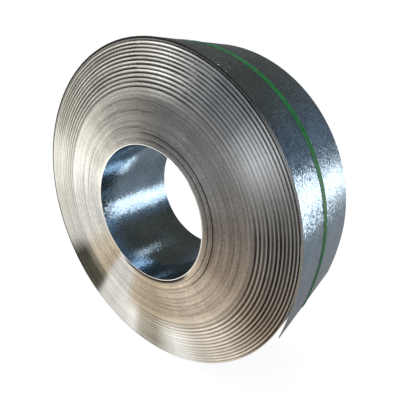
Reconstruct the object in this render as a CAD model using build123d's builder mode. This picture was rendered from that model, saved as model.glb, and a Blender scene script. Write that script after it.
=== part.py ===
# Slit steel strip wound into a coil, standing on its rim, with one plastic strap round it.
# Millimetres. +Z up, +Y along the bore from the front end to the rear one, origin at the
# bore's centre at mid-width. Clock angles run clockwise from the top, seen from the front.

import os
from math import acos, atan2, cos, degrees, hypot, radians, sin

from build123d import *

# Strip and coil
strip_width = 375.0
strip_thickness = 3.0
bore_radius = 254.0
rim_radius = 592.0  # of the quarter turn next to the tail; a full turn further in is a thickness less

# Turns on the ends: an even inner zone, then groups of looser turns that stand in and out
even_zone_depth = 186.5
group_count = 12
groove_depth = 5.0
groove_position = 0.4  # share of a group's pitch, from its proudest turn out to its groove
pitch_ratio = 0.718  # outermost pitch over innermost pitch

# Free tail of the outermost turn
lift_clock = 96.0
tail_bend_radius = 983.0
tail_length_front = 204.0
tail_length_rear = 150.0

# Crescent gap outside the innermost turn
gap_clock = 173.0
gap_half_angle = 42.0
gap_width = 5.0

# Strap
strap_width = 25.0
strap_thickness = 1.0
strap_offset = -19.0  # of its centre line from mid-width
strap_clearance = 0.3
seal_clock = 300.0
seal_length = 65.0

os.makedirs("parts", exist_ok=True)


def direction(angle):
    """Unit vector at an angle in degrees, counter-clockwise from +X towards +Z."""
    return Vector(cos(radians(angle)), sin(radians(angle)))


def clock_angle(clock):
    return 90.0 - clock


lift_angle = clock_angle(lift_clock)
centre_step = strip_thickness / 4
first_centre = (direction(lift_angle) + direction(lift_angle - 90.0)) * (centre_step / 2)
tail_foot = first_centre + direction(lift_angle) * rim_radius
tail_centre = tail_foot - direction(lift_angle) * tail_bend_radius


def rim_quarters():
    """Centre, radius and start angle of the four quarter arcs that make one turn of the spiral.

    The centres are the corners of a small square round the bore's centre. Each steps towards
    its arc's start by a quarter of the strip's thickness, so the arcs meet in line, and the
    turn ends one thickness inside its start.
    """
    centre = first_centre
    for quarter in range(4):
        start = lift_angle + 90.0 * quarter
        if quarter:
            centre += direction(start) * centre_step
        yield centre, rim_radius - quarter * centre_step, start


def tail_turn(length):
    """Angle in degrees that a length of the tail turns about its own centre."""
    return degrees(length / tail_bend_radius)


def end_profile():
    """Radius and setback of each corner of the front end, from the bore to the rim."""
    points = [(bore_radius, 0.0)]
    outermost_turn = rim_radius - 2 * strip_thickness
    radius = bore_radius + even_zone_depth
    ratios = [1 + (pitch_ratio - 1) * group / (group_count - 1) for group in range(group_count)]
    first_pitch = (outermost_turn - radius) / sum(ratios)
    for ratio in ratios:
        pitch = first_pitch * ratio
        points += [(radius, 0.0), (radius + pitch * groove_position, groove_depth)]
        radius += pitch
    points.append((outermost_turn, 0.0))
    return points


def tail_length_at(y):
    """Length of the tail at a distance from mid-width: its end is cut a little out of square."""
    share = y / strip_width + 0.5
    return tail_length_front + (tail_length_rear - tail_length_front) * share


# Tail: the strip's last stretch, sprung away from the rim
front_turn = tail_turn(tail_length_front)
rear_turn = tail_turn(tail_length_rear)
front_corner = tail_centre + direction(lift_angle - front_turn) * tail_bend_radius
rear_corner = tail_centre + direction(lift_angle - rear_turn) * tail_bend_radius
cut_line = Vector(rear_corner.X - front_corner.X, strip_width, rear_corner.Y - front_corner.Y)
cut_depth = direction(lift_angle - (front_turn + rear_turn) / 2)
end_cut = Plane(
    origin=(front_corner.X, -strip_width / 2, front_corner.Y),
    x_dir=cut_line,
    z_dir=cut_line.cross(Vector(cut_depth.X, 0, cut_depth.Y)),
)

with BuildPart() as tail:
    with BuildSketch(Plane.XZ):
        with BuildLine():
            outside = CenterArc(tail_centre, tail_bend_radius, lift_angle, -1.1 * front_turn)
            inside = CenterArc(
                tail_centre, tail_bend_radius - strip_thickness, lift_angle, -1.1 * front_turn
            )
            Line(outside @ 0, inside @ 0)
            Line(outside @ 1, inside @ 1)
        make_face()
    extrude(amount=strip_width / 2, both=True)
    split(bisect_by=end_cut, keep=Keep.BOTTOM)

# Coil: a turned blank with its bore, trimmed to the spiral of the rim
with BuildPart() as steel_coil:
    with BuildSketch(Plane.XY):
        with BuildLine():
            corners = end_profile()
            blank_radius = rim_radius + strip_thickness
            front = [(radius, setback - strip_width / 2) for radius, setback in corners]
            rear = [(radius, setback + strip_width / 2) for radius, setback in reversed(corners)]
            rim = [(blank_radius, -strip_width / 2), (blank_radius, strip_width / 2)]
            Polyline(*front, *rim, *rear, close=True)
        make_face()
    revolve(axis=Axis.Y)
    with BuildSketch(Plane.XZ):
        with BuildLine():
            for centre, radius, start in rim_quarters():
                last_arc = CenterArc(centre, radius, start, 90)
            Line(last_arc @ 1, tail_foot)
        make_face()
    extrude(amount=strip_width, both=True, mode=Mode.INTERSECT)
    add(tail.part)
    # Lune between the innermost turn and a smaller circle set towards the gap
    turn_radius = bore_radius + strip_thickness
    sine_share = 1 - cos(radians(gap_half_angle))
    gap_offset = gap_width * (gap_width + 2 * turn_radius) / (2 * (gap_width + turn_radius * sine_share))
    gap_centre = direction(clock_angle(gap_clock)) * gap_offset
    with BuildSketch(Plane.XZ):
        with Locations(gap_centre):
            Circle(turn_radius + gap_width - gap_offset)
        Circle(turn_radius, mode=Mode.SUBTRACT)
    extrude(amount=strip_width, both=True, mode=Mode.SUBTRACT)


def strap_outline(lift):
    """Closed line that follows the steel at a height over it.

    It lies on the rim and on the tail, turns over the tail's end and runs straight down to
    the rim again.
    """
    end_turn = tail_turn(tail_length_at(strap_offset - strap_width / 2) + strap_clearance)
    over_tail = CenterArc(tail_centre, tail_bend_radius + lift, lift_angle, -end_turn)
    corner = over_tail @ 1
    quarters = list(rim_quarters())
    for centre, radius, start in quarters[:-1]:
        CenterArc(centre, radius + lift, start, 90)
    centre, radius, start = quarters[-1]
    reach = Vector(corner.X, corner.Y) - centre
    tangent_turn = degrees(acos((radius + lift) / hypot(reach.X, reach.Y)))
    landing = degrees(atan2(reach.Y, reach.X)) - tangent_turn + 360
    last_arc = CenterArc(centre, radius + lift, start, landing - start)
    Line(last_arc @ 1, corner)


strap_plane = Plane.XZ.offset(-strap_offset)

with BuildPart() as strap:
    with BuildSketch(strap_plane):
        with BuildLine():
            strap_outline(strap_clearance + strap_thickness)
        make_face()
        with BuildLine():
            strap_outline(strap_clearance)
        make_face(mode=Mode.SUBTRACT)
    extrude(amount=strap_width / 2, both=True)
    # Friction weld: the strap's two ends overlap for a short length
    seal_angle = clock_angle(seal_clock) % 360
    for centre, radius, start in rim_quarters():
        if start <= seal_angle < start + 90:
            seal_radius = radius + strap_clearance + strap_thickness / 2
            seal_turn = degrees(seal_length / seal_radius)
            with BuildSketch(strap_plane):
                with BuildLine():
                    low = CenterArc(centre, seal_radius, seal_angle - seal_turn / 2, seal_turn)
                    high = CenterArc(
                        centre,
                        seal_radius + 1.5 * strap_thickness,
                        seal_angle - seal_turn / 2,
                        seal_turn,
                    )
                    Line(low @ 0, high @ 0)
                    Line(low @ 1, high @ 1)
                make_face()
            extrude(amount=strap_width / 2, both=True)

steel_coil.part.label = "steel_coil"
strap.part.label = "strap"
export_step(steel_coil.part, "parts/steel_coil.step")
export_step(strap.part, "parts/strap.step")
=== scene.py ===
import math

import bpy
import numpy as np
from mathutils import Matrix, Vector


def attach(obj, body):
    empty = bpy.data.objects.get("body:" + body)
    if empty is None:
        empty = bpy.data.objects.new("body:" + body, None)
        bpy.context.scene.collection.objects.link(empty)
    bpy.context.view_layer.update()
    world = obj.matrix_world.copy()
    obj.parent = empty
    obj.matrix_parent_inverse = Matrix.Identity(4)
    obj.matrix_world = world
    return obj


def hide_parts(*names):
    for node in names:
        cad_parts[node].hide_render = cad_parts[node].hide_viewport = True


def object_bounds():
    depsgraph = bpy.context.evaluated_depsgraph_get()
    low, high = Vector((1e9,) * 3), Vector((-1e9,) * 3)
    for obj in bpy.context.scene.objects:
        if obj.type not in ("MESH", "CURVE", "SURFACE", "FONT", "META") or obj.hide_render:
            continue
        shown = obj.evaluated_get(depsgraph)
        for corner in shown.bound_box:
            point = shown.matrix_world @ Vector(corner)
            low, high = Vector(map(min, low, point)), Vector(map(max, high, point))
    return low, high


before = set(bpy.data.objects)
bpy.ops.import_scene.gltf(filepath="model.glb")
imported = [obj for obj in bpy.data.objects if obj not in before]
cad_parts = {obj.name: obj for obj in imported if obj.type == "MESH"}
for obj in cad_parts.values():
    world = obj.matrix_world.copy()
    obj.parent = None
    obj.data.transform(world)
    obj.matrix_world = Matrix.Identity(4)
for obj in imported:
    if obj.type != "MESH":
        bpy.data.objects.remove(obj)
cadBox = [list(corner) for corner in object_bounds()]
print("frame loaded")


def smooth(t):
    # 0 below 0, 1 above 1, and a smooth S between them
    t = np.clip(t, 0.0, 1.0)
    return t * t * (3.0 - 2.0 * t)


def window(clock, start, rise, end, fall):
    # 1 between two clock angles, after a smooth rise at the start and before a fall at the end
    return smooth((clock - start) / rise) * smooth((end - clock) / fall)


def heading(clock):
    # unit vector (x, z) at a clock angle
    angle = np.radians(clock)
    return np.stack([np.sin(angle), np.cos(angle)], axis=-1)


def waves(clock, seed, count=5):
    # sum of a few whole-number cosines round the coil, scaled to about -1 to 1
    usualPeak = 1.6
    rng = np.random.default_rng(seed)
    total = 0.0
    for order in range(1, count + 1):
        total = total + rng.normal() * np.cos(np.radians(order * clock + rng.uniform(0, 360))) / order**0.5
    return total / usualPeak


def halves(quads):
    # each four-sided face as two triangles that turn the same way
    quads = quads.reshape(-1, 4)
    return np.concatenate([quads[:, [0, 1, 2]], quads[:, [0, 2, 3]]])


def gridQuads(grid):
    # one quad between each two neighbours along and across a grid of point numbers
    return np.stack([grid[:-1, :-1], grid[1:, :-1], grid[1:, 1:], grid[:-1, 1:]], axis=-1)


def addPiece(name, shells, finishes, sharpFrom=42.0):
    # One object from closed shells. A shell is its points, its triangles, the finish number
    # of each triangle and the groove value of each point. Faces that meet at a steeper angle
    # than sharpFrom, in degrees, keep a sharp edge.
    starts = np.cumsum([0] + [len(shell[0]) for shell in shells])
    points, triangles, kinds, grooves = zip(*shells)
    triangles = np.concatenate([part + start for part, start in zip(triangles, starts)])
    mesh = bpy.data.meshes.new(name)
    mesh.from_pydata(np.concatenate(points).tolist(), [], triangles.tolist())
    for finish in finishes:
        mesh.materials.append(finish)
    mesh.polygons.foreach_set("material_index", np.concatenate(kinds).astype(np.int32))
    layer = mesh.attributes.new("groove", "FLOAT", "POINT")
    layer.data.foreach_set("value", np.concatenate(grooves).astype(np.float32))
    mesh.shade_smooth()
    mesh.set_sharp_from_angle(angle=math.radians(sharpFrom))
    piece = bpy.data.objects.new(name, mesh)
    bpy.context.scene.collection.objects.link(piece)
    print(name, "made:", len(mesh.vertices), "points,", len(mesh.polygons), "triangles")
    return piece


# the wound strip, with the sizes of the CAD solid
coil = {
    "width": 0.375,
    "strip": 0.003,
    "bore": 0.254,
    "rim": 0.59194,
    "steps": 360,
    "edgeRound": 0.0004,
    # the wound body, which starts behind the first turn and ends behind the last one
    "setback": 0.0003,
    "innerRoom": 0.00015,  # between the innermost turn and the body
    "slotWidth": 0.0011,  # under the outermost turn, which lies a little loose
    "slotShares": (0.55, 0.45),  # of that width: its mean, and how much it varies
    "slotLeast": 0.0002,
    "underEnds": 14.0,  # degrees over which the body makes room for the strip's ends
    # even inner zone: plain circles
    "evenTo": 0.426,
    "ringStep": 0.008,
    "ringStart": 0.012,  # outside the bore
    "ringClear": 0.004,  # kept free round a slipped turn and at the zone's end
    "ringLeast": 0.0008,  # least room from one circle to the next
    "evenSetback": 0.0004,
    "evenRipple": 0.00014,
    "slippedTurns": ((0.2790, 0.0012), (0.2985, 0.0028)),  # radius and setback on the right
    "slipHalves": (0.0009, 0.0018),  # half-widths of the slot it leaves, at the floor and the top
    "slipClock": (-8.0, 30.0, 150.0, 40.0),  # start, rise, end and fall of the slipped stretch
    "slipElsewhere": 0.12,  # share of the setback that is left outside it
    # ridges: groups of looser turns
    "ridgesTo": 0.586,
    "groups": 13,
    "pitchRatio": 0.7,  # outermost pitch of the groups over the innermost
    "grooveDepth": 0.005,
    "groupPlaces": (0.0, 0.17, 0.30, 0.42, 0.60, 0.82),  # corners of one group, in its pitch
    "groupDepths": (0.0, 0.06, 0.80, 1.00, 0.72, 0.16),  # and their depths, in groove depths
    "weakest": 0.72,  # least depth of a group, as a share
    "firstGroups": (0.55, 0.6, 0.8),  # the first groups are fainter still
    "sway": 0.14,  # how much a group's depth varies round the coil
    "fadeIn": 1.4,  # groups over which the ridges start, and stop at the rim
    "fadeOut": 0.35,
    "upperRight": (12.0, 26.0, 86.0, 24.0),  # start, rise, end and fall of two calmer sectors
    "leftSide": (236.0, 16.0, 312.0, 26.0),
    "calmRight": (0.80, 0.45, 8.5, 3.5),  # loss of depth, less of it past a group, over groups
    "calmLeft": (0.55, 3.5, 1.5),  # loss of depth past a group, over groups
    # values of the groove attribute, from which the materials paint shade into the grooves and between the
    # turns
    "fullGroove": 0.004,  # setback in the even zone that counts as a full groove
    "darkGap": 0.002,  # room outside the innermost turn that looks fully dark
    "gapShades": ((1.0,), (0.6,)),  # on the two circles next to that room
    # free tail of the outermost turn
    "liftClock": 96.0,
    "tailBend": 0.983,
    "tailFront": 0.204,
    "tailRear": 0.150,
    "tailSteps": 25,
    # crescent gap outside the innermost turn
    "gapClock": 173.0,
    "gapHalfAngle": 42.0,
    "gapWidth": 0.005,
    # the first and the last turn, as strips of their own
    "innerEndClock": 52.0,
    "rowMargin": 0.012,  # from the strip's edge to the first even row
    "outerRows": 11,
    "innerRows": 7,
    "innerSteps": 231,
    "tuckFrom": 358.0,  # degrees into the turn where it starts to slide behind its own start
    "outerOverlap": 12.0,  # degrees past a full turn
    "innerOverlap": 8.0,
    "outerTuck": 0.0022,  # and how far it slides in there
    "innerTuck": 0.0016,
    "dent": 0.00022,
    "dentDrift": 40.0,  # degrees that a dent leans, from the front edge to the rear one
    "dentsFrom": 15.0,  # degrees over which the dents start, and where they stop
    "dentsTo": 350.0,
}


def rimRadius(clock):
    # Four quarter arcs about the corners of a small square. Each arc is a quarter of the
    # strip's thickness smaller than the one before, so a turn ends one thickness inside.
    clock = np.asarray(clock, float)
    step = coil["strip"] / 4
    lift = heading(coil["liftClock"])
    side = heading(coil["liftClock"] - 90.0)
    moves = np.cumsum([0 * side, side * step, -lift * step, -side * step], axis=0)
    centres = (lift - side) * step / 2 + moves
    quarter = np.floor(((coil["liftClock"] - clock) % 360.0) / 90.0).astype(int)
    centre = centres[quarter]
    along = (centre * heading(clock)).sum(-1)
    return along + np.sqrt(along**2 - (centre**2).sum(-1) + (coil["rim"] - quarter * step) ** 2)


def gapWidth(clock):
    # room outside the innermost turn: a circle set off towards the gap, less the turn's own
    turn = coil["bore"] + coil["strip"]
    share = 1 - math.cos(math.radians(coil["gapHalfAngle"]))
    wide = coil["gapWidth"]
    offset = wide * (wide + 2 * turn) / (2 * (wide + turn * share))
    away = np.radians(np.asarray(clock, float) - coil["gapClock"])
    radius = offset * np.cos(away) + np.sqrt((turn + wide - offset) ** 2 - (offset * np.sin(away)) ** 2)
    return np.maximum(radius - turn, 0.0)


def phaseRadius(phase):
    # radius of a place in the ridges, counted in groups, whose pitch shrinks evenly outwards
    count = coil["groups"]
    ratios = np.linspace(1.0, coil["pitchRatio"], count)
    edges = np.concatenate([[0.0], np.cumsum(ratios)]) / ratios.sum()
    share = np.interp(phase, np.arange(count + 1), edges)
    return coil["evenTo"] + (coil["ridgesTo"] - coil["evenTo"]) * share


def evenRings(clock, boreEdge):
    # Circles of the even inner zone: plain ones at an even step, and four for each turn that
    # has slipped back on the right. Radius and depth of each, one row for each circle.
    rounding = coil["edgeRound"]
    setback = coil["setback"]
    foot, top = coil["slipHalves"]
    slipRadii = np.array([radius for radius, _ in coil["slippedTurns"]])[:, None]
    slipped = (slipRadii + np.array([-top, -foot, foot, top])).ravel()
    innermost = coil["bore"] + coil["ringStart"]
    plain = np.arange(innermost, coil["evenTo"] - coil["ringClear"], coil["ringStep"])
    plain = plain[np.abs(plain - slipRadii).min(axis=0) > coil["ringClear"]]
    radii = np.sort(np.concatenate([plain, slipped]))[:, None]
    ripple = np.stack([waves(clock, seed=100 + i, count=4) for i in range(len(radii))])
    depth = setback + coil["evenSetback"] + coil["evenRipple"] * ripple
    onRight = coil["slipElsewhere"] + window(clock, *coil["slipClock"])
    for radius, slip in coil["slippedTurns"]:
        depth = depth + slip * onRight * (np.abs(radii - radius) < (foot + top) / 2)
    least = boreEdge + rounding + coil["ringLeast"] * np.arange(1, len(radii) + 1)[:, None]
    first = np.stack([boreEdge, boreEdge + rounding])
    firstDepth = np.array([[setback + rounding], [setback]]) + 0 * first
    last = np.full((1, len(clock)), coil["evenTo"])
    radii = np.concatenate([first, np.maximum(radii, least), last])
    return radii, np.maximum(np.concatenate([firstDepth, depth, 0 * last]), 0.0)


def grooveShare(line, phase, clock):
    # Depth in the ridges, as a share of the groove depth: the profile of one group, times a
    # random strength and a slow wave for each group, faded out at both ends of the ridges.
    groups = coil["groups"]
    shape = np.concatenate([np.tile(coil["groupDepths"], groups + 1), [0.0]])
    fade = smooth(phase / coil["fadeIn"]) * smooth((groups - phase) / coil["fadeOut"])
    strength = np.random.default_rng(seed=7).uniform(coil["weakest"], 1.0, groups + 2)
    strength[: len(coil["firstGroups"])] *= coil["firstGroups"]
    sway = np.stack([waves(clock, seed=40 + group, count=3) for group in range(groups + 2)])
    number = np.floor(line).astype(int) + 1
    # the turns lie closer in line on the upper right, away from the rim
    loss, less, start, over = coil["calmRight"]
    calm = 1 - (loss - less * smooth((phase - start) / over)) * window(clock, *coil["upperRight"])
    # and on the left, next to the rim
    loss, start, over = coil["calmLeft"]
    calm -= loss * smooth((phase - start) / over) * window(clock, *coil["leftSide"])
    share = shape[:, None] * strength[number][:, None] * (1 - coil["sway"] * np.abs(sway[number]))
    return np.clip(share * fade * calm, 0.0, 1.0)


def endSheet():
    # One end as lines from the bore to the rim. Inner lines are closed circles. Each line of
    # the ridges creeps outwards by one group in a clockwise turn, so it joins the line of the
    # next group there, and it starts on one closed circle and ends on another.
    steps = coil["steps"]
    groups = coil["groups"]
    rounding = coil["edgeRound"]
    setback = coil["setback"]
    clock = 360.0 * np.arange(steps) / steps
    past = (clock - coil["innerEndClock"]) % 360.0
    back = (coil["liftClock"] - clock) % 360.0
    # the body follows the innermost turn, and steps back under the strip's free ends
    under = coil["underEnds"]
    hug = past / 360.0 - smooth((past - 360.0 + under) / under)
    boreEdge = coil["bore"] + coil["strip"] * (1 + hug) + coil["innerRoom"] + gapWidth(clock)
    mean, varies = coil["slotShares"]
    slot = np.maximum(coil["slotWidth"] * (mean + varies * waves(clock, seed=3)), coil["slotLeast"])
    rimEdge = rimRadius(clock) - slot - coil["strip"] * (1 - smooth((back - 360.0 + under) / under))

    radii, depths = evenRings(clock, boreEdge)
    inner = np.arange(radii.size).reshape(radii.shape)
    lastRing = np.minimum(coil["ridgesTo"], rimEdge - 2 * rounding)
    outer = radii.size + np.arange(3 * steps).reshape(3, steps)
    outerRadii = np.stack([lastRing, rimEdge - rounding, rimEdge])
    outerDepths = np.array([[0.0], [setback], [setback + rounding]]) + 0 * outerRadii

    perGroup = len(coil["groupPlaces"])
    line = (np.arange(-1, groups)[:, None] + coil["groupPlaces"]).ravel()
    line = np.concatenate([line, [groups]])
    phase = line[:, None] + clock / 360.0
    share = grooveShare(line, phase, clock)
    # a line's points outside the ridges are those of the closed circle there
    tiny = 1e-9
    inside = (phase > tiny) & (phase < groups - tiny)
    own = np.cumsum(inside).reshape(inside.shape) + outer[-1, -1]
    ridges = np.where(inside, own, np.where(phase <= tiny, inner[-1], outer[0]))
    wrap = np.concatenate([ridges[perGroup:, 0], np.full(perGroup, outer[0, 0])])
    ridges = np.concatenate([ridges, wrap[:, None]], axis=1)

    grids = [np.concatenate([grid, grid[:, :1]], axis=1) for grid in (inner, outer)] + [ridges]
    triangles = np.concatenate([halves(gridQuads(grid)) for grid in grids])
    a, b, c = triangles.T
    triangles = triangles[(a != b) & (b != c) & (a != c)]
    clocks = [clock + 0 * radii, clock + 0 * outerRadii, (clock + 0 * phase)[inside]]
    depth = [depths, outerDepths, coil["grooveDepth"] * share[inside]]
    groove = [np.clip(depths / coil["fullGroove"], 0, 1), 0 * outerDepths, share[inside]]
    # painted shade: the first circle at the bore and the last at the rim get full groove values, and the
    # two circles after the first get more where the gap outside the innermost turn is wide, so they are
    # drawn dark
    groove[0][0] = groove[1][-1] = 1.0
    groove[0][1:3] = np.array(coil["gapShades"]) * np.clip(gapWidth(clock) / coil["darkGap"], 0, 1)
    radius = [radii, outerRadii, phaseRadius(phase[inside])]
    zones = (radius, clocks, depth, groove)
    columns = [np.concatenate([part.ravel() for part in parts]) for parts in zones]
    return columns, triangles, inner[0], outer[-1]


def woundBody():
    # Both ends from one sheet: the strip has one width, so a groove in front is a ridge at
    # the rear. Plain walls join their first and last circles.
    (radius, clock, depth, groove), triangles, boreLoop, rimLoop = endSheet()
    flat = heading(clock) * radius[:, None]
    half = coil["width"] / 2
    front = np.stack([flat[:, 0], depth - half, flat[:, 1]], axis=-1)
    rear = np.stack([flat[:, 0], depth + half, flat[:, 1]], axis=-1)
    count = len(radius)
    sides = [(boreLoop, np.roll(boreLoop, -1)), (np.roll(rimLoop, -1), rimLoop)]
    walls = [halves(np.stack([one, two, two + count, one + count], axis=-1)) for one, two in sides]
    faces = np.concatenate([triangles, triangles[:, ::-1] + count] + walls)
    finishes = (np.arange(len(faces)) >= 2 * len(triangles)).astype(int)
    rearGroove = 1.0 - groove
    # painted shade: full groove values on the rear edges too, so the walls under the first and last turn
    # are drawn dark at both ends
    rearGroove[np.concatenate([boreLoop, rimLoop])] = 1.0
    return np.concatenate([front, rear]), faces, finishes, np.concatenate([groove, rearGroove])


def stripRows(count):
    # places across the strip's width, with one close to each edge
    edge = coil["width"] / 2 - coil["edgeRound"]
    lastEven = coil["width"] / 2 - coil["rowMargin"]
    return np.concatenate([[-edge], np.linspace(-lastEven, lastEven, count), [edge]])


def strip(outer, normal, rows):
    # A strip along a path: outer and normal are the path's outer points and outward normals,
    # one for each step and row. The section is a rectangle with its corners cut, and its rows
    # run front to rear on the outside and back on the inside, so the two ends close in pairs.
    steps, count = outer.shape[:2]
    cut = coil["edgeRound"]
    half = coil["width"] / 2
    inner = outer - coil["strip"] * normal
    section = [outer[:, :1] - cut * normal[:, :1], outer, outer[:, -1:] - cut * normal[:, -1:]]
    section += [inner[:, -1:] + cut * normal[:, -1:], inner[:, ::-1], inner[:, :1] + cut * normal[:, :1]]
    flat = np.concatenate(section, axis=1)
    y = np.concatenate([[-half], rows, [half, half], rows[::-1], [-half]])
    points = np.stack([flat[..., 0], y + 0 * flat[..., 0], flat[..., 1]], axis=-1)
    around = len(y)
    ids = np.arange(steps * around).reshape(steps, around)
    quads = gridQuads(np.concatenate([ids, ids[:, :1]], axis=1))[..., [0, 3, 2, 1]]
    # the two slit edges and the four cut corners are bare steel, the rest is zinc
    kinds = np.ones((steps - 1, around), int)
    kinds[:, [0, count, count + 1, count + 2, 2 * count + 2, 2 * count + 3]] = 0
    side = around // 2
    pairs = np.stack([ids[[0, -1], :side], ids[[0, -1], ::-1][:, :side]], axis=1)
    caps = np.stack([pairs[:, 0, :-1], pairs[:, 1, :-1], pairs[:, 1, 1:], pairs[:, 0, 1:]], axis=-1)
    caps[1] = caps[1][:, ::-1]
    faces = np.concatenate([halves(quads), halves(caps)])
    finishes = np.concatenate([np.tile(kinds.ravel(), 2), np.zeros(len(faces) - 2 * kinds.size, int)])
    return points.reshape(-1, 3), faces, finishes, np.zeros(steps * around)


def tailLength(y):
    # the tail's end is cut a little out of square, so its length changes evenly across
    share = y / coil["width"] + 0.5
    return coil["tailFront"] + (coil["tailRear"] - coil["tailFront"]) * share


def tailCentre():
    # centre of the tail's arc, one bend radius inwards from the tail's foot on the rim
    lift = coil["liftClock"]
    return heading(lift) * (rimRadius(lift) - coil["tailBend"])


def outermostTurn():
    # From the tail's tip back to its foot along an arc that bends less than the rim, then
    # once round the rim and a little on, where it slides in behind its own start.
    rows = stripRows(coil["outerRows"])
    run = np.linspace(1.0, 0.0, coil["tailSteps"])[:-1, None] * tailLength(rows)
    tailNormal = heading(coil["liftClock"] + np.degrees(run / coil["tailBend"]))
    overlap = coil["outerOverlap"]
    turned = np.arange(361.0 + overlap)[:, None] + 0 * rows
    clock = coil["liftClock"] - turned
    radius = rimRadius(clock) - coil["strip"] * (turned >= 360.0)
    radius = radius - coil["outerTuck"] * smooth((turned - coil["tuckFrom"]) / overlap)
    # shallow dents, deepest at mid-width
    across = rows / coil["width"] + 0.5
    uneven = waves(clock + coil["dentDrift"] * across, seed=11, count=9)
    dent = coil["dent"] * np.sin(np.pi * across) * uneven * smooth(turned / coil["dentsFrom"])
    radius = radius - np.abs(dent) * (turned < coil["dentsTo"])
    normal = heading(clock)
    outer = np.concatenate([tailCentre() + tailNormal * coil["tailBend"], normal * radius[..., None]])
    return strip(outer, np.concatenate([tailNormal, normal]), rows)


def innermostTurn():
    # from the strip's inner end round the bore, out by one thickness in a turn
    rows = stripRows(coil["innerRows"])
    overlap = coil["innerOverlap"]
    turned = np.linspace(0.0, 360.0 + overlap, coil["innerSteps"])[:, None] + 0 * rows
    radius = coil["bore"] + coil["strip"] * (1 + turned / 360.0)
    radius = radius + coil["innerTuck"] * smooth((turned - coil["tuckFrom"]) / overlap)
    normal = heading(coil["innerEndClock"] + turned)
    points, faces, finishes, groove = strip(normal * radius[..., None], normal, rows)
    return points, faces[:, ::-1], finishes, groove


def hexLinear(code):
    # sRGB hex to linear colour
    c = np.array([int(code[i : i + 2], 16) / 255 for i in (1, 3, 5)])
    c = np.where(c <= 0.04045, c / 12.92, ((c + 0.055) / 1.055) ** 2.4)
    return (*c.tolist(), 1.0)


def addNode(tree, kind, settings=None, links=None):
    # Settings go to the node's own properties, to its sockets by name or number, or as stops
    # to its colour ramp. A link comes from a socket, or from the first output of a node. A Map
    # Range's sockets 1 and 2 are the values that it turns into those of sockets 3 and 4.
    node = tree.nodes.new(kind)
    for key, value in (settings or {}).items():
        if key == "stops":
            band = node.color_ramp.elements
            for _ in value[2:]:
                band.new(0.5)
            for element, (place, tone) in zip(band, value):
                element.position = place
                element.color = hexLinear(tone) if isinstance(tone, str) else (tone, tone, tone, 1.0)
        elif isinstance(key, int) or not hasattr(node, key):
            node.inputs[key].default_value = value
        else:
            setattr(node, key, value)
    for key, source in (links or {}).items():
        tree.links.new(source.outputs[0] if hasattr(source, "outputs") else source, node.inputs[key])
    return node


def startMaterial(name):
    # a material with its node tree and its shader
    material = bpy.data.materials.new(name)
    material.use_nodes = True
    return material, material.node_tree, material.node_tree.nodes["Principled BSDF"]


def polar(tree):
    # Object coordinates, the same without their y, radius in metres, and clock angle as a
    # share of a full turn
    place = addNode(tree, "ShaderNodeTexCoord").outputs["Object"]
    flat = addNode(tree, "ShaderNodeVectorMath", {"operation": "MULTIPLY", 1: (1, 0, 1)}, {0: place})
    radius = addNode(tree, "ShaderNodeVectorMath", {"operation": "LENGTH"}, {0: flat}).outputs["Value"]
    apart = addNode(tree, "ShaderNodeSeparateXYZ", links={0: flat}).outputs
    angle = addNode(tree, "ShaderNodeMath", {"operation": "ARCTAN2"}, {0: apart["X"], 1: apart["Z"]})
    perRadian = 0.5 / math.pi
    share = addNode(tree, "ShaderNodeMath", {"operation": "MULTIPLY_ADD", 1: perRadian, 2: 1.0}, {0: angle})
    turn = addNode(tree, "ShaderNodeMath", {"operation": "FRACT"}, {0: share})
    return {"place": place, "flat": flat, "radius": radius, "turn": turn}
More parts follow.
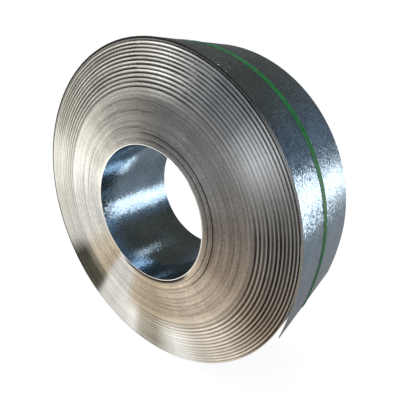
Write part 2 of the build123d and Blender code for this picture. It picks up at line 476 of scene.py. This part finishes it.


# The slit edges of the strip, as the coil's ends show them. Tones go by clock angle, as a share of a turn,
# unless a note says otherwise; the tones by clock angle are painted reflection, bright and dark sectors
# round the coil.
slitEdges = {
    # painted reflection: bright and dark sectors on the ridges, by clock angle
    "ridgeReflectionTones": [
        (0.00, "#cfcbc1"),
        (0.035, "#f6f5ef"),
        (0.07, "#8d8f90"),
        (0.10, "#6f7275"),
        (0.13, "#7b7e82"),
        (0.165, "#c6c9cc"),
        (0.20, "#8a8a88"),
        (0.24, "#96928d"),
        (0.28, "#a0968b"),
        (0.33, "#b8a793"),
        (0.37, "#fdf0dc"),
        (0.42, "#eee4d5"),
        (0.46, "#fffdf6"),
        (0.478, "#f4efe2"),
        (0.494, "#cdc6b4"),
        (0.520, "#cfc8b6"),
        (0.534, "#fffdf6"),
        (0.597, "#fffdf6"),
        (0.606, "#87846f"),
        (0.655, "#6f6d5c"),
        (0.678, "#f1ede3"),
        (0.72, "#dedacf"),
        (0.79, "#cfcbc0"),
        (0.87, "#b9b4a8"),
        (1.00, "#cfcbc1"),
    ],
    # painted reflection: bright and dark sectors on the even zone, by clock angle
    "evenReflectionTones": [
        (0.00, "#87827b"),
        (0.04, "#6c6c6a"),
        (0.09, "#7a7b7b"),
        (0.17, "#92918f"),
        (0.24, "#8b8278"),
        (0.30, "#ae9d8b"),
        (0.36, "#e2d0b8"),
        (0.42, "#f4e2c9"),
        (0.49, "#d2bd9f"),
        (0.54, "#e4d1b5"),
        (0.56, "#fffbf2"),
        (0.597, "#fffbf2"),
        (0.61, "#e0ccae"),
        (0.64, "#f3e2c6"),
        (0.69, "#fffdf4"),
        (0.76, "#f6f2e9"),
        (0.83, "#d8d4ca"),
        (0.89, "#c0bcb1"),
        (1.00, "#87827b"),
    ],
    "reliefKept": [  # share of the relief's shade that the light leaves
        (0.00, 0.9),
        (0.04, 0.8),
        (0.12, 0.5),
        (0.18, 0.45),
        (0.24, 0.85),
        (0.34, 0.85),
        (0.42, 0.6),
        (0.46, 0.45),
        (0.50, 0.85),
        (0.54, 0.15),
        (0.595, 0.05),
        (0.61, 1.0),
        (0.66, 1.0),
        (0.70, 0.7),
        (0.80, 0.75),
        (0.88, 1.0),
    ],
    "ridgesFrom": (0.41, 0.49),  # radii, from the even zone's tones to those of the ridges
    "bearingStretch": 3.0,
    "lineScale": 0.45,
    "lineTones": [(0.32, 0.52), (0.46, 0.90), (0.60, 1.0)],  # by noise
    "darkestTurn": 0.70,
    # painted shade in the grooves
    "grooveShadeTones": [(0.08, 1.0), (0.38, 0.55), (0.68, 0.14), (1.0, 0.03)],  # by groove value
    "grainScale": 250.0,
    "grainTones": [(0.40, 0.72), (0.55, 1.0)],  # by noise
    "roughness": (0.26, 0.44),
    "outline": (0.5820, 0.5850),  # radii over which the last turns darken on the left
    "outlineSide": [(0.05, 1.0), (0.2, 0.0), (0.62, 0.0), (0.7, 1.0)],
    "outlineTone": 0.08,
    "sheenScale": 6.0,
    "sheenNoise": (0.38, 0.60),  # from the darkest streak along the radius to the brightest
    "sheenTone": 0.89,  # of the darkest one
    "patchScale": 9.0,  # of the patches that hold the scratches
    "patchNoise": (0.56, 0.64),  # from none to all
    "scratchScale": 5.0,
    "scratchNoise": (0.60, 0.72),
    "scratchZone": (0.38, 0.34),  # radii, from none to all
    "bareTone": "#f4f1e8",  # of freshly rubbed steel
    "bareShare": 0.8,
    "paleInnerEdge": (0.2592, 0.2584),  # radii, over the innermost turn's outer corner
    "anisotropy": 0.7,
    "edgeBump": 0.4,
    "edgeHeight": 0.0003,
    "unevenEdges": 2.0,  # heights by which one edge may stand over the next
}


def slitEdgeSteel():
    # Sheared edges of galvanised strip: bare satin steel, one 3 mm edge beside another. The eye gets fine
    # concentric lines, and streaks of sheen that fan out from the bore: partly from the shader, and partly
    # painted reflection, as are the bright and dark sectors round the coil. The grooves get painted shade.
    material, tree, shader = startMaterial("slitEdgeSteel")
    at = polar(tree)
    # count of turns from the middle, which steps on by one in each turn as the strip does
    back = addNode(tree, "ShaderNodeMath", {"operation": "MULTIPLY", 1: -1.0}, {0: at["turn"]})
    perMetre = 1 / coil["strip"]
    wound = addNode(
        tree, "ShaderNodeMath", {"operation": "MULTIPLY_ADD", 1: perMetre}, {0: at["radius"], 2: back}
    )
    number = addNode(tree, "ShaderNodeMath", {"operation": "FLOOR"}, {0: wound})
    across = addNode(tree, "ShaderNodeMath", {"operation": "FRACT"}, {0: wound})
    edgeTone = addNode(tree, "ShaderNodeTexWhiteNoise", {"noise_dimensions": "1D"}, {"W": number})

    # painted reflection: the sectors of the ridges and of the even zone, blended by radius
    ridges = addNode(tree, "ShaderNodeValToRGB", {"stops": slitEdges["ridgeReflectionTones"]}, {0: at["turn"]})
    even = addNode(tree, "ShaderNodeValToRGB", {"stops": slitEdges["evenReflectionTones"]}, {0: at["turn"]})
    inmost, full = slitEdges["ridgesFrom"]
    zone = addNode(tree, "ShaderNodeMapRange", {1: inmost, 2: full}, {0: at["radius"]})
    tone = addNode(tree, "ShaderNodeMix", {"data_type": "RGBA"}, {0: zone, 6: even, 7: ridges}).outputs[2]

    # brushed look: noise that is long round the coil and fine along the radius
    bearing = addNode(tree, "ShaderNodeVectorMath", {"operation": "NORMALIZE"}, {0: at["flat"]})
    stretch = {"operation": "SCALE", "Scale": slitEdges["bearingStretch"]}
    stretched = addNode(tree, "ShaderNodeVectorMath", stretch, {0: bearing})
    brushed = addNode(
        tree,
        "ShaderNodeTexNoise",
        {"noise_dimensions": "4D", "Scale": slitEdges["lineScale"], "Detail": 2.0, "Roughness": 0.7},
        {"Vector": stretched, "W": wound},
    )
    relief = addNode(tree, "ShaderNodeValToRGB", {"stops": slitEdges["lineTones"]}, {0: brushed})
    oneTurn = addNode(tree, "ShaderNodeMapRange", {3: slitEdges["darkestTurn"], 4: 1.0}, {0: edgeTone})
    # painted shade in the grooves, darker the deeper they are
    groove = addNode(tree, "ShaderNodeAttribute", {"attribute_name": "groove"}).outputs["Fac"]
    grooveShade = addNode(tree, "ShaderNodeValToRGB", {"stops": slitEdges["grooveShadeTones"]}, {0: groove})
    # grains of 4 mm: the burrs of the shears are finer, and drawn this coarse to show
    grainSize = {"Scale": slitEdges["grainScale"], "Detail": 1.0}
    grains = addNode(tree, "ShaderNodeTexNoise", grainSize, {"Vector": at["place"]})
    speckle = addNode(tree, "ShaderNodeValToRGB", {"stops": slitEdges["grainTones"]}, {0: grains})
    for shade in (oneTurn, grooveShade, speckle):
        relief = addNode(tree, "ShaderNodeMath", {"operation": "MULTIPLY"}, {0: relief, 1: shade})
    # the light shines into the ridges on the upper right and round the foot, and washes them out
    kept = addNode(tree, "ShaderNodeValToRGB", {"stops": slitEdges["reliefKept"]}, {0: at["turn"]})
    kept = addNode(tree, "ShaderNodeMapRange", {3: 1.0}, {0: zone, 4: kept})
    relief = addNode(tree, "ShaderNodeMapRange", {3: 1.0}, {0: kept, 4: relief})
    # the last turns before the rim lie in shade on the left
    inmost, full = slitEdges["outline"]
    outline = addNode(tree, "ShaderNodeMapRange", {1: inmost, 2: full}, {0: at["radius"]})
    leftSide = addNode(tree, "ShaderNodeValToRGB", {"stops": slitEdges["outlineSide"]}, {0: at["turn"]})
    outline = addNode(tree, "ShaderNodeMath", {"operation": "MULTIPLY"}, {0: outline, 1: leftSide})
    outline = addNode(tree, "ShaderNodeMapRange", {3: 1.0, 4: slitEdges["outlineTone"]}, {0: outline})
    # painted sheen: soft lighter and darker streaks along the radius, about ten degrees apart
    sheenSize = {"Scale": slitEdges["sheenScale"], "Detail": 2.0}
    sheen = addNode(tree, "ShaderNodeTexNoise", sheenSize, {"Vector": bearing})
    dark, bright = slitEdges["sheenNoise"]
    sheenTones = {1: dark, 2: bright, 3: slitEdges["sheenTone"], 4: 1.0}
    sheen = addNode(tree, "ShaderNodeMapRange", sheenTones, {0: sheen})
    for shade in (relief, outline, sheen):
        tone = addNode(tree, "ShaderNodeVectorMath", {"operation": "MULTIPLY"}, {0: tone, 1: shade})
    # whitish handling scratches near the bore: fine streaks, only inside a few soft patches
    patch = addNode(
        tree,
        "ShaderNodeTexNoise",
        {"noise_dimensions": "4D", "Scale": slitEdges["patchScale"], "W": 3.0},
        {"Vector": at["place"]},
    )
    none, full = slitEdges["patchNoise"]
    patch = addNode(tree, "ShaderNodeMapRange", {1: none, 2: full}, {0: patch})
    scratch = addNode(
        tree,
        "ShaderNodeTexNoise",
        {"noise_dimensions": "4D", "Scale": slitEdges["scratchScale"], "Detail": 1.0},
        {"Vector": bearing, "W": wound},
    )
    none, full = slitEdges["scratchNoise"]
    scratchShare = {1: none, 2: full, 4: slitEdges["bareShare"]}
    scratch = addNode(tree, "ShaderNodeMapRange", scratchShare, {0: scratch})
    none, full = slitEdges["scratchZone"]
    nearBore = addNode(tree, "ShaderNodeMapRange", {1: none, 2: full}, {0: at["radius"]})
    for share in (patch, nearBore):
        scratch = addNode(tree, "ShaderNodeMath", {"operation": "MULTIPLY"}, {0: scratch, 1: share})
    # the edge of the innermost turn is drawn pale, close to bare steel
    none, full = slitEdges["paleInnerEdge"]
    paleEdgeShare = {1: none, 2: full, 4: slitEdges["bareShare"]}
    rubbed = addNode(tree, "ShaderNodeMapRange", paleEdgeShare, {0: at["radius"]})
    bare = {"data_type": "RGBA", 7: hexLinear(slitEdges["bareTone"])}
    for share in (scratch, rubbed):
        tone = addNode(tree, "ShaderNodeMix", bare, {0: share, 6: tone}).outputs[2]
    tree.links.new(tone, shader.inputs["Base Color"])
    shader.inputs["Metallic"].default_value = 1.0
    smoothest, roughest = slitEdges["roughness"]
    rough = addNode(tree, "ShaderNodeMapRange", {3: smoothest, 4: roughest}, {0: grains})
    tree.links.new(rough.outputs[0], shader.inputs["Roughness"])
    # the shine spreads across the edges, a quarter turn from the way that they run
    shader.inputs["Anisotropic"].default_value = slitEdges["anisotropy"]
    shader.inputs["Anisotropic Rotation"].default_value = 0.25
    tangent = addNode(tree, "ShaderNodeTangent", {"direction_type": "RADIAL", "axis": "Y"})
    tree.links.new(tangent.outputs[0], shader.inputs["Tangent"])

    # each edge is a low rounded ridge between two hairline gaps, at a height of its own
    angle = addNode(tree, "ShaderNodeMath", {"operation": "MULTIPLY", 1: math.pi}, {0: across})
    hump = addNode(tree, "ShaderNodeMath", {"operation": "SINE"}, {0: angle})
    uneven = {"operation": "MULTIPLY_ADD", 1: slitEdges["unevenEdges"]}
    step = addNode(tree, "ShaderNodeMath", uneven, {0: edgeTone, 2: hump})
    low = {"Strength": slitEdges["edgeBump"], "Distance": slitEdges["edgeHeight"]}
    bump = addNode(tree, "ShaderNodeBump", low, {"Height": step})
    tree.links.new(bump.outputs[0], shader.inputs["Normal"])
    return material


# the zinc on the strip's faces
zinc = {
    "crystalScale": 230.0,
    "tones": [(0.0, "#879db1"), (0.3, "#9fb7ca"), (1.0, "#b9cfe1")],  # by crystal
    "leanRadii": (0.27, 0.50),  # from the bore to the rim
    "lean": (0.06, 0.15),  # radians between the two furthest tilts, in the bore and on the rim
    "roughness": (0.10, 0.20),
    "swellScale": 9.0,
    "swellBump": 0.2,
    "swellHeight": 0.002,
    "filmTones": [(0.35, 0.80), (0.65, 1.0)],  # by swell
    # painted shade of the faces between the turns
    "hiddenFaceShade": 0.03,
}


def galvanisedStrip():
    # Hot-dip zinc on steel strip: crystals of about 4 mm, each tilted its own way by up to
    # four degrees. The eye gets a cool mirror whose highlights break up into specks at their
    # edges.
    material, tree, shader = startMaterial("galvanisedStrip")
    at = polar(tree)
    size = {"Scale": zinc["crystalScale"]}
    crystals = addNode(tree, "ShaderNodeTexVoronoi", size, {"Vector": at["place"]}).outputs["Color"]
    middle = {"operation": "SUBTRACT", 1: (0.5, 0.5, 0.5)}
    tilt = addNode(tree, "ShaderNodeVectorMath", middle, {0: crystals})
    # the innermost turn lay on the mandrel and is smoother
    inBore, onRim = zinc["leanRadii"]
    least, most = zinc["lean"]
    lean = addNode(tree, "ShaderNodeMapRange", {1: inBore, 2: onRim, 3: least, 4: most}, {0: at["radius"]})
    tilt = addNode(tree, "ShaderNodeVectorMath", {"operation": "SCALE"}, {0: tilt, "Scale": lean})
    normal = addNode(tree, "ShaderNodeNewGeometry").outputs["Normal"]
    facet = addNode(tree, "ShaderNodeVectorMath", {"operation": "ADD"}, {0: normal, 1: tilt})
    facet = addNode(tree, "ShaderNodeVectorMath", {"operation": "NORMALIZE"}, {0: facet})
    # the strip isn't quite flat across: long low waves, a hand's breadth apart
    swellSize = {"Scale": zinc["swellScale"], "Detail": 1.0}
    swell = addNode(tree, "ShaderNodeTexNoise", swellSize, {"Vector": at["place"]})
    low = {"Strength": zinc["swellBump"], "Distance": zinc["swellHeight"]}
    bump = addNode(tree, "ShaderNodeBump", low, {"Height": swell, "Normal": facet})
    tree.links.new(bump.outputs[0], shader.inputs["Normal"])
    parts = addNode(tree, "ShaderNodeSeparateColor", links={0: crystals}).outputs
    tone = addNode(tree, "ShaderNodeValToRGB", {"stops": zinc["tones"]}, {0: parts[0]})
    film = addNode(tree, "ShaderNodeValToRGB", {"stops": zinc["filmTones"]}, {0: swell})
    # painted shade: the faces between the turns lie in shade, so they are drawn nearly black, and the
    # groove value says where
    groove = addNode(tree, "ShaderNodeAttribute", {"attribute_name": "groove"}).outputs["Fac"]
    hiddenShade = addNode(tree, "ShaderNodeMapRange", {3: 1.0, 4: zinc["hiddenFaceShade"]}, {0: groove})
    for shade in (film, hiddenShade):
        tone = addNode(tree, "ShaderNodeVectorMath", {"operation": "MULTIPLY"}, {0: tone, 1: shade})
    tree.links.new(tone.outputs[0], shader.inputs["Base Color"])
    shader.inputs["Metallic"].default_value = 1.0
    smoothest, roughest = zinc["roughness"]
    rough = addNode(tree, "ShaderNodeMapRange", {3: smoothest, 4: roughest}, {0: parts[1]})
    tree.links.new(rough.outputs[0], shader.inputs["Roughness"])
    return material


coilShells = [woundBody(), outermostTurn(), innermostTurn()]
coilPiece = addPiece("steelCoil", coilShells, [slitEdgeSteel(), galvanisedStrip()])
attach(coilPiece, "root")
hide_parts("steel_coil")

# the strap, with the sizes of the CAD solid
strap = {
    "width": 0.025,
    "thickness": 0.001,
    "offset": -0.019,  # of its middle from the coil's middle
    "lift": 0.0003,
    "edgeRound": 0.00022,
    "shoulder": 5.0,  # width of the proud edge, in edge roundings
    "sunk": 0.4,  # depth of the middle under it, in edge roundings
    "tailSteps": 24,
    "freeSteps": 14,
    "rimSteps": 420,
    "searchPast": 60.0,  # degrees past the lift clock where the strap surely lies on the rim
    "searchSteps": 801,
    "weldClock": 300.0,
    "weldLength": 0.065,
    "weldSteps": 14,
    "weldHeight": 0.97,  # of the free end over the loop, in thicknesses
    "tones": [(0.3, "#0f7031"), (0.7, "#1a8a41")],  # by noise
    # painted highlight along both edges
    "edgeHighlightTone": "#6cbf87",
    "edgeHighlightFrom": (0.0106, 0.0120),  # metres from its middle
    "rubbedScale": 40.0,
    "roughness": 0.5,
    "gloss": 0.3,
    "bump": 0.05,
    "bumpHeight": 0.0003,
}


def strapPath():
    # Over the tail from its foot to its end, round the end's corner, straight down to the
    # rim where the line touches it, then round the rim back to the foot.
    lift = strap["lift"]
    endTurn = (tailLength(strap["offset"] - strap["width"] / 2) + lift) / coil["tailBend"]
    tailClock = coil["liftClock"] + np.degrees(np.linspace(0.0, endTurn, strap["tailSteps"]))
    tail = tailCentre() + heading(tailClock) * (coil["tailBend"] + lift)
    corner = tail[-1]
    # where the line from the corner touches the rim it is square to the radius
    cornerClock = math.degrees(math.atan2(*corner))
    clocks = np.linspace(cornerClock, coil["liftClock"] + strap["searchPast"], strap["searchSteps"])[1:]
    rim = heading(clocks) * (rimRadius(clocks) + lift)[:, None]
    toward = rim - corner
    square = np.abs((toward * heading(clocks)).sum(-1) / np.linalg.norm(toward, axis=-1))
    landing = np.argmin(square)
    share = np.linspace(0.0, 1.0, strap["freeSteps"])[1:-1, None]
    straight = corner * (1 - share) + rim[landing] * share
    roundClock = np.linspace(clocks[landing], coil["liftClock"] + 360.0, strap["rimSteps"])[:-1]
    onRim = heading(roundClock) * (rimRadius(roundClock) + lift)[:, None]
    return np.concatenate([tail, straight, onRim])


def weldPath():
    # the strap's free end, laid on the loop for the length of the friction weld
    reach = math.degrees(strap["weldLength"] / 2 / coil["rim"])
    clocks = np.linspace(strap["weldClock"] - reach, strap["weldClock"] + reach, strap["weldSteps"])
    height = strap["lift"] + strap["weldHeight"] * strap["thickness"]
    return heading(clocks) * (rimRadius(clocks) + height)[:, None]


def strapShell(path, closed):
    # A flat section with cut corners and a slightly sunk middle, carried along a path square
    # to it. A closed path joins its own start, an open one gets a cap at each end.
    ahead = np.gradient(path, axis=0)
    if closed:
        ahead = np.roll(path, -1, axis=0) - np.roll(path, 1, axis=0)
    ahead /= np.linalg.norm(ahead, axis=1)[:, None]
    out = np.stack([-ahead[:, 1], ahead[:, 0]], axis=-1)
    half = strap["width"] / 2
    thick = strap["thickness"]
    cut = strap["edgeRound"]
    side = np.array([half, half, half - cut, half - strap["shoulder"] * cut])
    rise = np.array([cut, thick - cut, thick, thick - strap["sunk"] * cut])
    across = np.concatenate([-side, side[::-1], [half - cut, cut - half]])
    height = np.concatenate([rise, rise[::-1], [0.0, 0.0]])
    flat = path[:, None] + out[:, None] * height[:, None]
    points = np.stack([flat[..., 0], strap["offset"] + across + 0 * flat[..., 0], flat[..., 1]], axis=-1)
    steps, around = points.shape[:2]
    ids = np.arange(steps * around).reshape(steps, around)
    grid = np.concatenate([ids, ids[:, :1]], axis=1)
    if closed:
        grid = np.concatenate([grid, grid[:1]])
    faces = [halves(gridQuads(grid))]
    if not closed:
        fan = np.stack([np.zeros(around - 2, int), np.arange(1, around - 1), np.arange(2, around)], axis=-1)
        faces += [fan, fan[:, ::-1] + ids[-1, 0]]
    faces = np.concatenate(faces)
    return points.reshape(-1, 3), faces, np.zeros(len(faces), int), np.zeros(steps * around)


def greenPolyester():
    # Extruded polyester strapping, mid green: smooth plastic with a soft gloss. The eye gets an even green
    # with pale edges, which are a painted highlight.
    material, tree, shader = startMaterial("greenPolyester")
    place = addNode(tree, "ShaderNodeTexCoord").outputs["Object"]
    y = addNode(tree, "ShaderNodeSeparateXYZ", links={0: place}).outputs["Y"]
    across = addNode(tree, "ShaderNodeMath", {"operation": "SUBTRACT", 1: strap["offset"]}, {0: y})
    fromMiddle = addNode(tree, "ShaderNodeMath", {"operation": "ABSOLUTE"}, {0: across})
    # painted highlight: both edges of the strap are mixed towards a pale green
    none, full = strap["edgeHighlightFrom"]
    edge = addNode(tree, "ShaderNodeMapRange", {1: none, 2: full}, {0: fromMiddle})
    rubbedSize = {"Scale": strap["rubbedScale"], "Detail": 3.0}
    rubbed = addNode(tree, "ShaderNodeTexNoise", rubbedSize, {"Vector": place})
    tone = addNode(tree, "ShaderNodeValToRGB", {"stops": strap["tones"]}, {0: rubbed})
    pale = {"data_type": "RGBA", 7: hexLinear(strap["edgeHighlightTone"])}
    tone = addNode(tree, "ShaderNodeMix", pale, {0: edge, 6: tone}).outputs[2]
    tree.links.new(tone, shader.inputs["Base Color"])
    shader.inputs["Roughness"].default_value = strap["roughness"]
    shader.inputs["Specular IOR Level"].default_value = strap["gloss"]
    shader.inputs["IOR"].default_value = 1.5
    low = {"Strength": strap["bump"], "Distance": strap["bumpHeight"]}
    bump = addNode(tree, "ShaderNodeBump", low, {"Height": rubbed})
    tree.links.new(bump.outputs[0], shader.inputs["Normal"])
    return material


strapShells = [strapShell(strapPath(), True), strapShell(weldPath(), False)]
strapPiece = addPiece("greenStrap", strapShells, [greenPolyester()])
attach(strapPiece, "root")
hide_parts("strap")

# Floor, world, lamps and camera. The floor and the backdrop are white to the camera. Mirrors
# see a floor that glows on the left in front and far away, and behind the coil a white
# horizon with a grey zone over it. The room in front and the ceiling are dim to them.
studio = {
    "floorSize": 40.0,
    "floorColour": "#9a9a9a",
    "floorRoughness": 0.9,
    "floorGlow": 0.88,  # to the camera
    "mirrorGlow": 1.0,  # to mirrors, on the left in front and far away
    "dimGlow": 0.11,  # to mirrors, elsewhere
    "glowSide": (-0.66, -0.75, 0.0),
    "glowNear": (-0.3, 0.35),  # metres along that side, from the dim glow to the full one
    "glowFar": (2.0, 4.8),  # metres away, from no glow to the full one
    "worldFill": 0.40,
    "ceiling": "#58554b",
    "sky": [(0.0, "#ffffff"), (0.09, "#7f8994"), (0.30, "#6a727b"), (0.45, "#58554b")],  # by height
    "roomSide": (0.30, -0.95, 0.0),
    "roomEdge": (0.75, 0.35),  # along that side, from the dim room to the clear backdrop
    "leftEdge": (-0.35, 0.1),  # along x, from the dimmer backdrop on the left to the full one
    "leftShare": 0.35,
    "lamps": (
        # name, place, aimed at, width, height, watts
        ("leftSoftbox", (-2.3, -0.9, 0.0), (0.0, -0.1, 0.0), 1.5, 1.1, 6.5),
        ("keySoftbox", (-1.7, -2.1, 0.55), (-0.1, -0.2, 0.0), 1.4, 0.9, 6.5),
        ("lowSoftbox", (-1.39, -1.52, -0.24), (-0.1, -0.2, -0.3), 1.5, 0.4, 2.8),
        ("wallStrip", (1.51, 2.20, -0.03), (0.57, 0.0, 0.17), 1.1, 0.36, 1.2),
        ("boreStrip", (1.76, 1.60, -0.08), (-0.25, 0.0, -0.04), 0.8, 0.96, 3.9),
        ("ceilingStrip", (-0.12, 1.32, 1.80), (-0.11, 0.0, -0.23), 0.45, 0.3, 0.45),
        ("floorStrip", (-0.08, 0.46, -0.57), (-0.22, 0.0, 0.13), 0.4, 0.12, 0.26),
        ("topSoftbox", (0.3, -0.4, 3.2), (0.0, 0.0, 0.0), 1.8, 1.2, 30.0),
    ),
    "lens": 31.374,
    "farthest": 200.0,
    "cameraPlace": (0.8687, -0.9979, 0.4852),
    "cameraRight": (0.7942, 0.6076, 0.0),
    "cameraUp": (-0.2079, 0.2718, 0.9396),
}


def mirrorRays(tree):
    # the Light Path's outputs, and 1 for a ray that comes from a mirror or through glass
    rays = addNode(tree, "ShaderNodeLightPath").outputs
    either = {0: rays["Is Glossy Ray"], 1: rays["Is Transmission Ray"]}
    return rays, addNode(tree, "ShaderNodeMath", {"operation": "MAXIMUM"}, either)


floorMesh = bpy.data.meshes.new("floor")
reach = studio["floorSize"]
outline = [(-reach, -reach), (reach, -reach), (reach, reach), (-reach, reach)]
corners = [(x, y, cadBox[0][2]) for x, y in outline]
floorMesh.from_pydata(corners, [], [(0, 1, 2, 3)])
floor = bpy.data.objects.new("floor", floorMesh)
bpy.context.scene.collection.objects.link(floor)
floorFinish, tree, shader = startMaterial("paleFloor")
shader.inputs["Base Color"].default_value = hexLinear(studio["floorColour"])
shader.inputs["Roughness"].default_value = studio["floorRoughness"]
shader.inputs["Specular IOR Level"].default_value = 0.0
rays, mirrors = mirrorRays(tree)
place = addNode(tree, "ShaderNodeTexCoord").outputs["Object"]
toSide = {"operation": "DOT_PRODUCT", 1: studio["glowSide"]}
side = addNode(tree, "ShaderNodeVectorMath", toSide, {0: place}).outputs["Value"]
start, full = studio["glowNear"]
nearGlow = {1: start, 2: full, 3: studio["dimGlow"], 4: studio["mirrorGlow"]}
near = addNode(tree, "ShaderNodeMapRange", nearGlow, {0: side})
away = addNode(tree, "ShaderNodeVectorMath", {"operation": "LENGTH"}, {0: place}).outputs["Value"]
start, full = studio["glowFar"]
far = addNode(tree, "ShaderNodeMapRange", {1: start, 2: full, 4: studio["mirrorGlow"]}, {0: away})
glow = addNode(tree, "ShaderNodeMath", {"operation": "MAXIMUM"}, {0: near, 1: far})
mirrored = addNode(tree, "ShaderNodeMath", {"operation": "MULTIPLY"}, {0: mirrors, 1: glow})
toCamera = {"operation": "MULTIPLY_ADD", 1: studio["floorGlow"]}
glow = addNode(tree, "ShaderNodeMath", toCamera, {0: rays["Is Camera Ray"], 2: mirrored})
shader.inputs["Emission Color"].default_value = (1, 1, 1, 1)
tree.links.new(glow.outputs[0], shader.inputs["Emission Strength"])
floorMesh.materials.append(floorFinish)

world = bpy.data.worlds.new("studioWorld")
bpy.context.scene.world = world
world.use_nodes = True
tree = world.node_tree
rays, mirrors = mirrorRays(tree)
direction = addNode(tree, "ShaderNodeTexCoord").outputs["Generated"]
apart = addNode(tree, "ShaderNodeSeparateXYZ", links={0: direction}).outputs
sky = addNode(tree, "ShaderNodeValToRGB", {"stops": studio["sky"]}, {0: apart["Z"]})
toSide = {"operation": "DOT_PRODUCT", 1: studio["roomSide"]}
side = addNode(tree, "ShaderNodeVectorMath", toSide, {0: direction}).outputs["Value"]
start, full = studio["roomEdge"]
clear = addNode(tree, "ShaderNodeMapRange", {1: start, 2: full}, {0: side})
start, full = studio["leftEdge"]
leftShade = {1: start, 2: full, 3: studio["leftShare"], 4: 1.0}
toRight = addNode(tree, "ShaderNodeMapRange", leftShade, {0: apart["X"]})
lit = addNode(tree, "ShaderNodeMath", {"operation": "MULTIPLY"}, {0: clear, 1: toRight})
dim = {"data_type": "RGBA", 6: hexLinear(studio["ceiling"])}
backdrop = addNode(tree, "ShaderNodeMix", dim, {0: lit, 7: sky}).outputs[2]
fill = {"data_type": "RGBA", 6: (studio["worldFill"],) * 3 + (1,)}
seen = addNode(tree, "ShaderNodeMix", fill, {0: mirrors, 7: backdrop}).outputs[2]
white = {"data_type": "RGBA", 7: (1, 1, 1, 1)}
seen = addNode(tree, "ShaderNodeMix", white, {0: rays["Is Camera Ray"], 6: seen}).outputs[2]
tree.links.new(seen, tree.nodes["Background"].inputs["Color"])

for name, spot, aim, wide, tall, watts in studio["lamps"]:
    data = bpy.data.lights.new(name, "AREA")
    data.shape = "RECTANGLE"
    data.size = wide
    data.size_y = tall
    data.energy = watts
    lamp = bpy.data.objects.new(name, data)
    bpy.context.scene.collection.objects.link(lamp)
    toward = np.array(aim, float) - np.array(spot, float)
    pitch = math.acos(-toward[2] / np.linalg.norm(toward))
    lamp.location = spot
    lamp.rotation_euler = (pitch, 0, math.atan2(toward[1], toward[0]) - math.pi / 2)
    lamp.visible_camera = False

cameraData = bpy.data.cameras.new("camera")
camera = bpy.data.objects.new("camera", cameraData)
bpy.context.scene.collection.objects.link(camera)
cameraData.lens = studio["lens"]
cameraData.clip_end = studio["farthest"]
right = np.array(studio["cameraRight"])
right /= np.linalg.norm(right)
upward = np.array(studio["cameraUp"])
upward -= right * (right @ upward)
upward /= np.linalg.norm(upward)
pose = np.eye(4)
pose[:3] = np.stack([right, upward, np.cross(right, upward), studio["cameraPlace"]], axis=1)
camera.matrix_world = Matrix(pose.tolist())
bpy.context.scene.camera = camera
bpy.context.scene.view_settings.view_transform = "Standard"
print("stage set")
